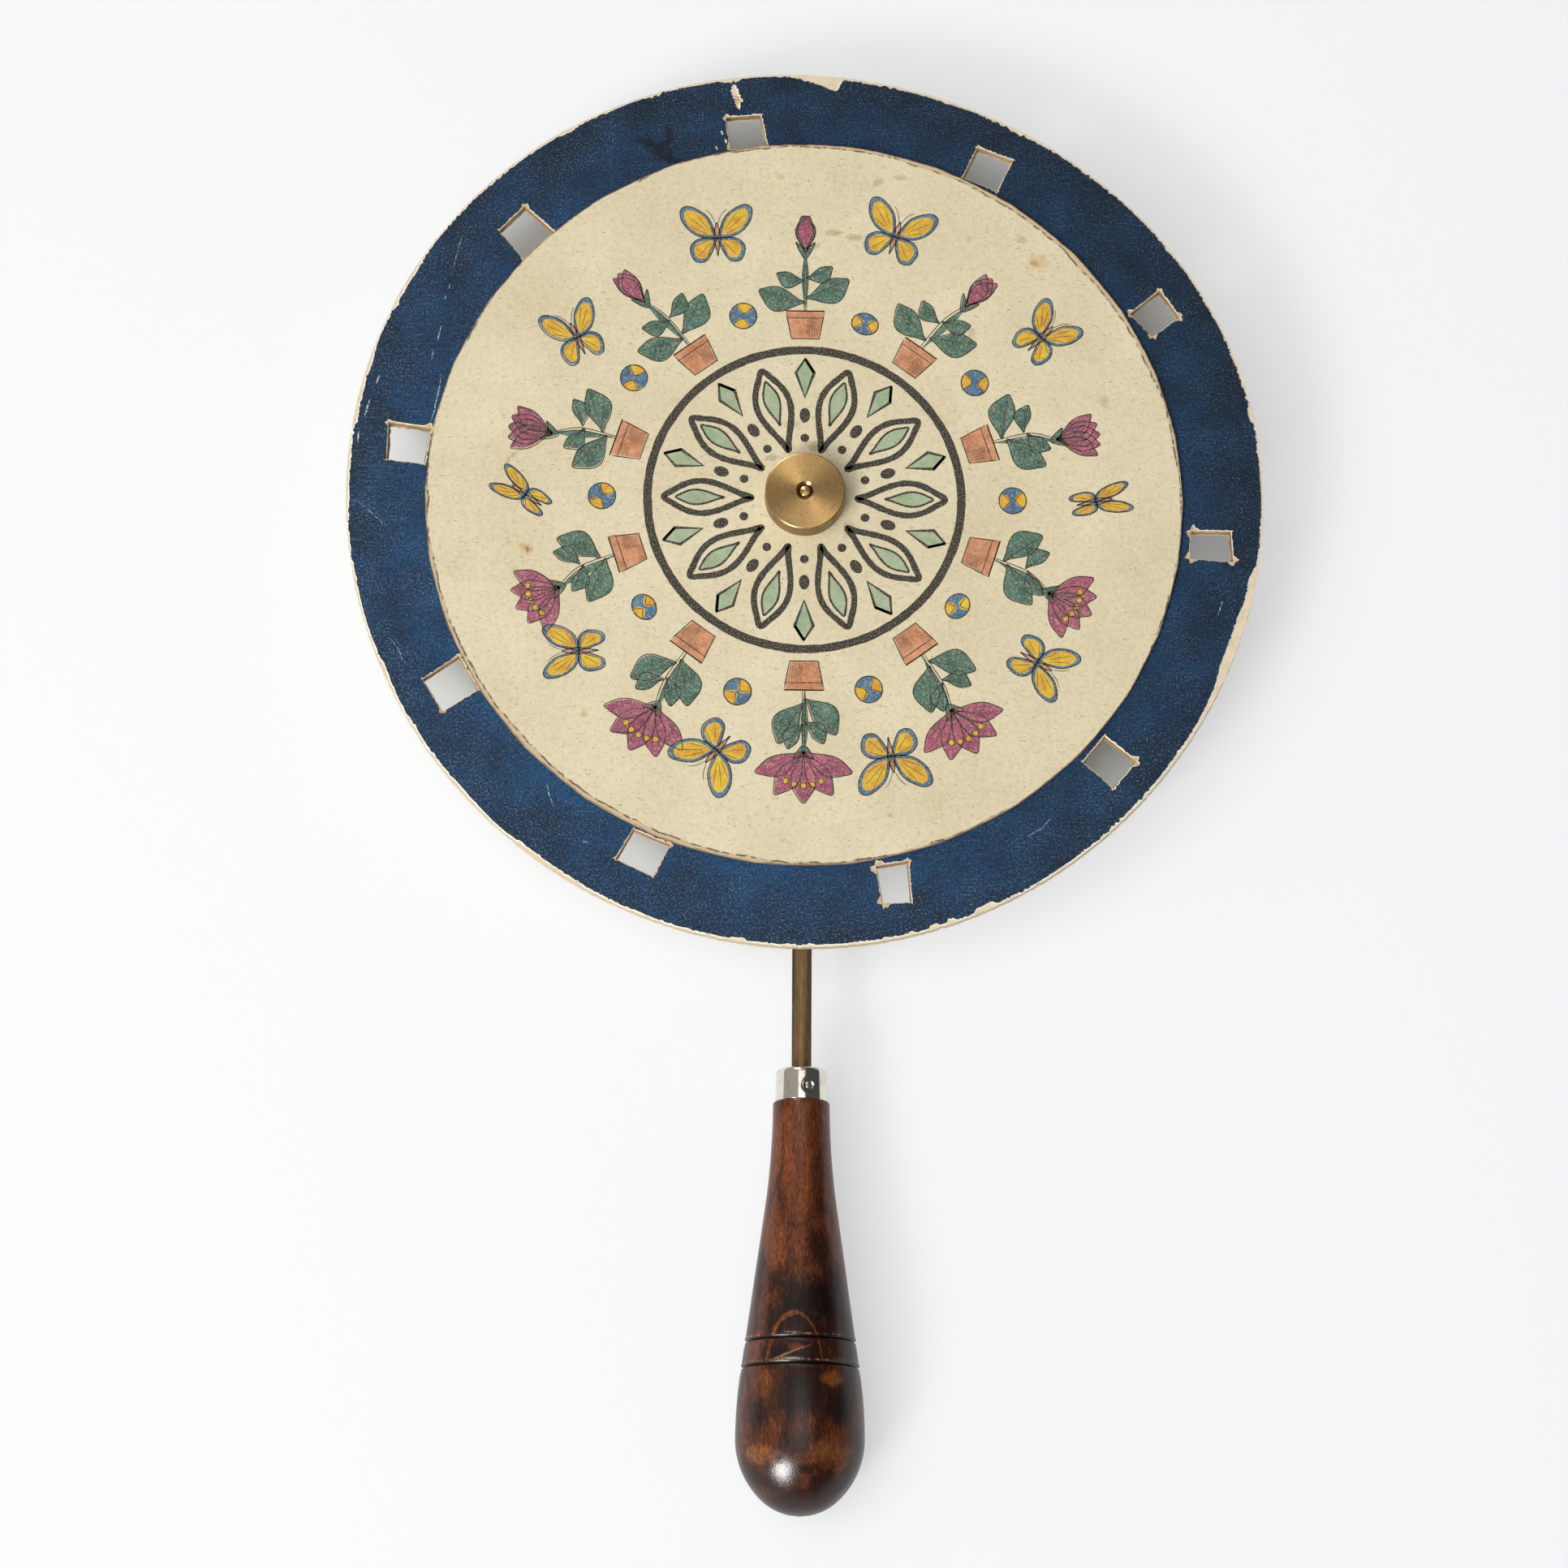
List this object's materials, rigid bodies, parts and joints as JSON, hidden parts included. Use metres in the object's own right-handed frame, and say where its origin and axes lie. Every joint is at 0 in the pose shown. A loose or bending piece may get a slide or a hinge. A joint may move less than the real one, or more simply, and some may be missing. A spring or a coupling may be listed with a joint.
{
  "type": "phenakistiscope",
  "caption": "Hand-held optical toy: a slotted disc and a smaller picture disc, clamped by a round nut, spin together on a rod set in a turned wooden handle.",
  "frame": {"origin": "on the spindle's axis at the front face of the slotted disc, where the picture disc seats", "axes": "+Z along the spindle out of the picture, +Y away from the handle, +X to the right seen from the front"},
  "size_m": [0.2607, 0.4138, 0.0348],
  "materials": {
    "varnished_wood": "stained dark red-brown, glossy varnish, worn",
    "nickel": "bright nickel plate",
    "steel": "plain steel brad",
    "dark_brass": "brown patina",
    "brass": "lathe turned, lightly aged",
    "pasteboard": "matt, chipped at the rim",
    "blue_paper": "Prussian blue coloured paper, rubbed and creased",
    "lining_paper": "plain aged paper",
    "brown_card": "matt",
    "printed_paper": "aged cream paper with a printed and hand-coloured design"
  },
  "bodies": {
    "handle_set": {"handle": "varnished_wood", "ferrule": "nickel", "ferrule_pin": "steel", "rod": "dark_brass"},
    "disc_set": {"spindle": "brass", "rear_washer": "brass", "slotted_board": "pasteboard", "slotted_facing": "blue_paper", "slotted_lining": "lining_paper"},
    "picture_set": {"picture_card": "brown_card", "picture_print": "printed_paper"},
    "nut": {"clamp_nut": "brass"}
  },
  "joints": [
    {"name": "disc_spin", "type": "hinge", "parent": "handle_set", "child": "disc_set", "pos_m": [0, 0, 0], "axis": [0, 0, 1], "continuous": true},
    {"name": "picture_lift", "type": "slide", "parent": "disc_set", "child": "picture_set", "axis": [0, 0, 1], "range_m": [0, 0.0063]},
    {"name": "nut_turn", "type": "hinge", "parent": "picture_set", "child": "nut", "pos_m": [0, 0, 0], "axis": [0, 0, 1], "range_deg": [0, 3240]}
  ],
  "couplings": [
    {"joint": "nut_turn", "follows": "picture_lift", "rad_per_m": 8976}
  ]
}
